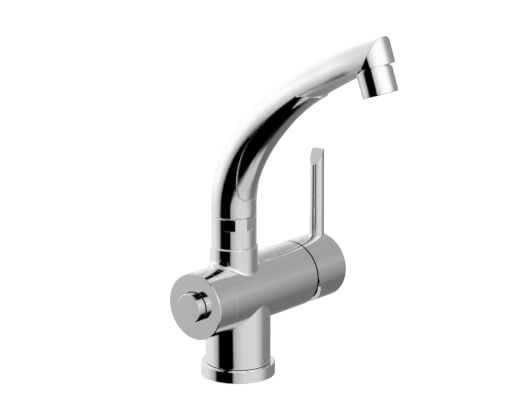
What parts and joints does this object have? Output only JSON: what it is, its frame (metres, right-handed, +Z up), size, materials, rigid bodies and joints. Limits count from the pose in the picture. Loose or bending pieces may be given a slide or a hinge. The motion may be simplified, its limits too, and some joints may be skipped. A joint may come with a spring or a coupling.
{
  "type": "basin mixer tap",
  "caption": "Side-lever basin mixer with a round column, a cross barrel with a push button at one end and an upright lever at the other, and a high swept swivel spout.",
  "frame": {"origin": "centre of the flange's underside, on the column's axis", "axes": "+Z up along the column, +X along the barrel towards the lever, -Y towards the spout's outlet"},
  "size_m": [0.1461, 0.1637, 0.2587],
  "materials": {
    "chrome": "polished",
    "brass": "machined",
    "steel": "plain",
    "rubber": "matte",
    "ceramic": "polished ceramic",
    "plastic": "moulded",
    "insert": "moulded"
  },
  "bodies": {
    "tap_body": {"mixer_body": "chrome", "base_flange": "chrome", "base_seal": "rubber", "end_cap": "chrome", "end_cap_seal": "rubber", "valve_seat": "brass", "valve_guide": "brass", "guide_seal": "rubber", "cartridge_housing": "plastic", "cartridge_base": "plastic", "cartridge_seals": "rubber", "fixed_disc": "ceramic", "cartridge_nut": "chrome", "swivel_nut": "chrome", "neck_seal": "rubber", "slip_ring": "plastic", "button_spring": "steel"},
    "spout": {"spout": "chrome", "spout_cover": "chrome", "spout_seals": "rubber", "spout_clip": "steel", "aerator_housing": "chrome", "aerator_insert": "insert", "aerator_washer": "rubber"},
    "carrier": {"cartridge_carrier": "plastic", "carrier_pin": "steel"},
    "lever": {"lever_cap": "chrome", "lever_rod": "chrome", "lever_grub_screw": "steel", "lever_stem": "brass"},
    "mixing_disc": {"moving_disc": "ceramic", "disc_driver": "plastic"},
    "button": {"push_button": "chrome", "valve_spindle": "steel", "valve_disc": "rubber"}
  },
  "joints": [
    {"name": "spout_swivel", "type": "hinge", "parent": "tap_body", "child": "spout", "pos_m": [-0.0041, 0, 0.106], "axis": [0, 0, 1], "range_deg": [-60, 60]},
    {"name": "temperature", "type": "hinge", "parent": "tap_body", "child": "carrier", "pos_m": [0.0615, 0, 0.0592], "axis": [1, 0, 0], "range_deg": [-45, 45]},
    {"name": "flow", "type": "hinge", "parent": "carrier", "child": "lever", "pos_m": [0.0615, 0, 0.0592], "axis": [0, 1, 0], "range_deg": [0, 24]},
    {"name": "disc_shift", "type": "slide", "parent": "carrier", "child": "mixing_disc", "axis": [0, 0, 1], "range_m": [0, 0.0037]},
    {"name": "button_press", "type": "slide", "parent": "tap_body", "child": "button", "axis": [1, 0, 0], "range_m": [0, 0.004], "stiffness_N_per_m": 900, "springref_m": -0.003, "deforming": ["button_spring"]}
  ],
  "couplings": [
    {"joint": "disc_shift", "follows": "flow", "m_per_rad": 0.0085}
  ]
}
